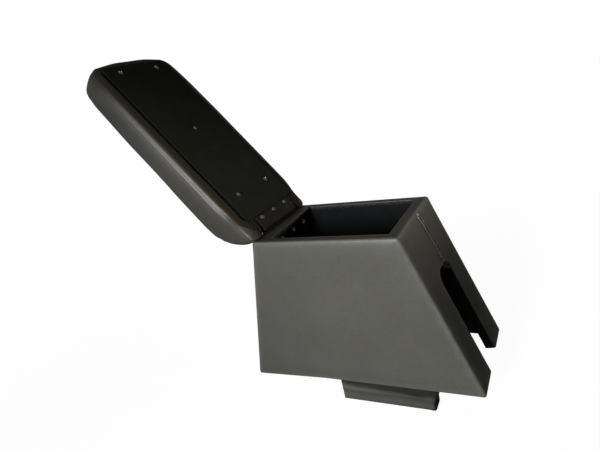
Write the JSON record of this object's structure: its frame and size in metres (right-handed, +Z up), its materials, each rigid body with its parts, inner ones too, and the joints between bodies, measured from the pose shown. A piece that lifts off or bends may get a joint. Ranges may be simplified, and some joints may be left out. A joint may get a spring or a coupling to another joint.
{
  "type": "car centre armrest",
  "caption": "Leatherette-covered car armrest box with a felt-lined bin, a padded hinged lid, a slotted sloping front and side feet that straddle the console.",
  "frame": {"origin": "midway between the two side feet, on the level plane of their soles", "axes": "+X towards the front of the car and the sloping slotted face, +Y to the car's left, +Z up; the lid is open at rest"},
  "size_m": [0.4242, 0.134, 0.437],
  "materials": {
    "leatherette": "fine grain, satin",
    "felt": "short matt pile",
    "fibreboard": "sawn board, hidden",
    "hardboard": "smooth board, hidden",
    "foam": "open cell pad, hidden",
    "hinge_steel": "dark brown plated, semi-gloss",
    "zinc_steel": "zinc plated"
  },
  "bodies": {
    "box": {"right_side_board": "fibreboard", "left_side_board": "fibreboard", "back_board": "fibreboard", "front_board": "fibreboard", "bin_floor": "fibreboard", "box_cover": "leatherette", "wall_lining": "felt", "floor_lining": "felt", "back_board_screws": "zinc_steel", "front_board_screws": "zinc_steel", "bin_floor_screws": "zinc_steel", "right_foot_block": "fibreboard", "left_foot_block": "fibreboard", "right_foot_cover": "leatherette", "left_foot_cover": "leatherette", "right_foot_screws": "zinc_steel", "left_foot_screws": "zinc_steel", "hinge_box_leaf": "hinge_steel", "hinge_pin": "zinc_steel", "box_leaf_bolts": "zinc_steel", "box_leaf_nuts": "zinc_steel"},
    "lid": {"hinge_lid_leaf": "hinge_steel", "lid_leaf_screws": "zinc_steel", "lid_base_board": "fibreboard", "lid_foam": "foam", "lid_cover": "leatherette", "lid_liner_board": "hardboard", "lid_liner_felt": "felt", "lid_liner_screws": "zinc_steel"}
  },
  "joints": [
    {"name": "lid_hinge", "type": "hinge", "parent": "box", "child": "lid", "pos_m": [-0.12341, 0, 0.217], "axis": [0, 1, 0], "range_deg": [0, 127]}
  ]
}
